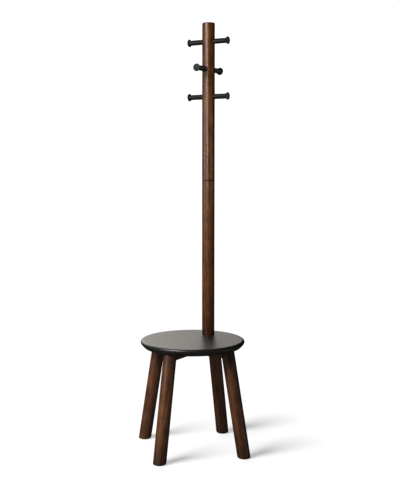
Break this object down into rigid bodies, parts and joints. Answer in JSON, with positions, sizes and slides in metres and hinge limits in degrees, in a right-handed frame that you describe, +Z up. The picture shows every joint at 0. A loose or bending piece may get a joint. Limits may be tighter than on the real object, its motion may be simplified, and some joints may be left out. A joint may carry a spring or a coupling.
{
  "type": "hall tree with a round stool seat",
  "caption": "Free-standing coat stand: a round pole with flared pegs rises from the back of a round four-legged stool seat.",
  "frame": {"origin": "on the floor, straight below the centre of the seat", "axes": "+Z up; +Y from the seat's centre towards the pole, which stands at the back; +X to the right of someone who faces the stand from its front"},
  "size_m": [0.5096, 0.5096, 1.65],
  "materials": {
    "seat_black": "satin",
    "peg_black": "satin",
    "walnut": "satin",
    "felt": "matte",
    "steel": "satin",
    "brass": "satin"
  },
  "bodies": {
    "root": {"seat": "seat_black", "brace_front_back": "walnut", "brace_left_right": "walnut", "leg_front": "walnut", "leg_right": "walnut", "leg_back": "walnut", "leg_left": "walnut", "foot_pad_front": "felt", "foot_pad_right": "felt", "foot_pad_back": "felt", "foot_pad_left": "felt", "pole_lower": "walnut", "pole_upper": "walnut", "pole_joint_stud": "steel", "pole_inserts": "brass", "pole_bolt": "steel", "pole_washer": "steel", "peg_top_left": "peg_black", "peg_top_right": "peg_black", "peg_middle_front": "peg_black", "peg_middle_back": "peg_black", "peg_bottom_left": "peg_black", "peg_bottom_right": "peg_black", "peg_studs": "steel", "seat_screws": "steel"}
  },
  "joints": []
}
